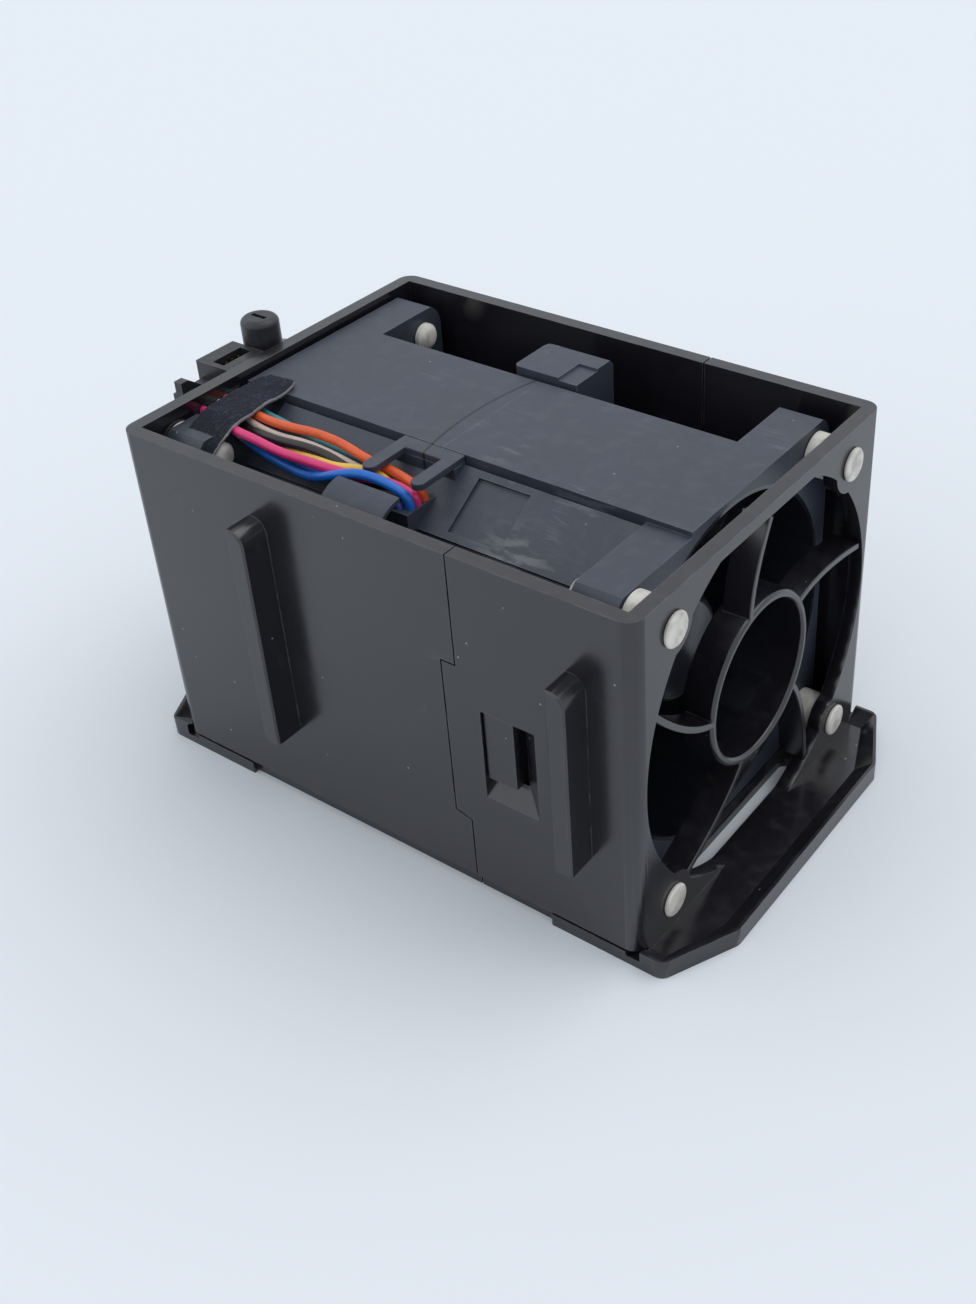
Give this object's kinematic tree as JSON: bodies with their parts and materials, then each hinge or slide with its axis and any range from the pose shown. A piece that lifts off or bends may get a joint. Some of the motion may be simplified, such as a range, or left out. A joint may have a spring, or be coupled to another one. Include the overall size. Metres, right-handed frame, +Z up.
{
  "type": "server fan module",
  "caption": "Open-topped carrier with guide ribs, end guards and a plug, holding two axial fans end to end on rubber pins.",
  "frame": {"origin": "on the base plate's underside, under the middle of the carrier", "axes": "+X along the air path towards the intake guard, +Z up from the base plate, -Y the near side with the wires"},
  "size_m": [0.115, 0.0786, 0.066],
  "materials": {
    "carrier_plastic": "semi-gloss black moulded plastic",
    "fan_plastic": "satin charcoal glass-filled plastic",
    "rotor_plastic": "smooth black plastic",
    "grey_rubber": "soft light grey rubber",
    "cloth_tape": "black fleece cloth tape with a pale backing",
    "connector_plastic": "matt black plastic",
    "contact_brass": "gold-plated contact",
    "screw_steel": "dark zinc",
    "yoke_steel": "drawn steel",
    "magnet_black": "plastic-bonded ferrite",
    "shaft_steel": "ground steel",
    "tube_brass": "turned brass",
    "bearing_steel": "ground steel",
    "stator_steel": "stacked steel sheet",
    "copper_wire": "enamelled copper",
    "board_green": "solder-masked board",
    "wire_orange": "insulation",
    "wire_teal": "insulation",
    "wire_white": "insulation",
    "wire_black": "insulation",
    "wire_violet": "insulation",
    "wire_pink": "insulation",
    "wire_yellow": "insulation",
    "wire_blue": "insulation"
  },
  "bodies": {
    "carrier": {"cloth_tape": "cloth_tape", "connector_contacts": "contact_brass", "connector_housing": "connector_plastic", "connector_screws": "screw_steel", "front_bearing_tube": "tube_brass", "front_bearings": "bearing_steel", "front_carrier": "carrier_plastic", "front_fan_frame": "fan_plastic", "front_guard": "carrier_plastic", "front_isolators": "grey_rubber", "front_motor_board": "board_green", "front_stator_core": "stator_steel", "front_windings": "copper_wire", "rear_bearing_tube": "tube_brass", "rear_bearings": "bearing_steel", "rear_carrier": "carrier_plastic", "rear_fan_frame": "fan_plastic", "rear_guard": "carrier_plastic", "rear_isolators": "grey_rubber", "rear_motor_board": "board_green", "rear_stator_core": "stator_steel", "rear_windings": "copper_wire", "seam_block": "fan_plastic", "wire_black": "wire_black", "wire_blue": "wire_blue", "wire_grommet": "fan_plastic", "wire_orange": "wire_orange", "wire_pink": "wire_pink", "wire_retainer": "fan_plastic", "wire_saddle": "fan_plastic", "wire_teal": "wire_teal", "wire_violet": "wire_violet", "wire_white": "wire_white", "wire_yellow": "wire_yellow"},
    "front_rotor": {"front_impeller": "rotor_plastic", "front_yoke": "yoke_steel", "front_magnet": "magnet_black", "front_shaft": "shaft_steel", "front_shaft_clip": "shaft_steel", "front_preload_spring": "shaft_steel"},
    "rear_rotor": {"rear_impeller": "rotor_plastic", "rear_yoke": "yoke_steel", "rear_magnet": "magnet_black", "rear_shaft": "shaft_steel", "rear_shaft_clip": "shaft_steel", "rear_preload_spring": "shaft_steel"}
  },
  "joints": [
    {"name": "front_rotor_spin", "type": "hinge", "parent": "carrier", "child": "front_rotor", "pos_m": [0.018, 0, 0.0317], "axis": [1, 0, 0], "continuous": true},
    {"name": "rear_rotor_spin", "type": "hinge", "parent": "carrier", "child": "rear_rotor", "pos_m": [-0.022, 0, 0.0317], "axis": [1, 0, 0], "continuous": true}
  ]
}
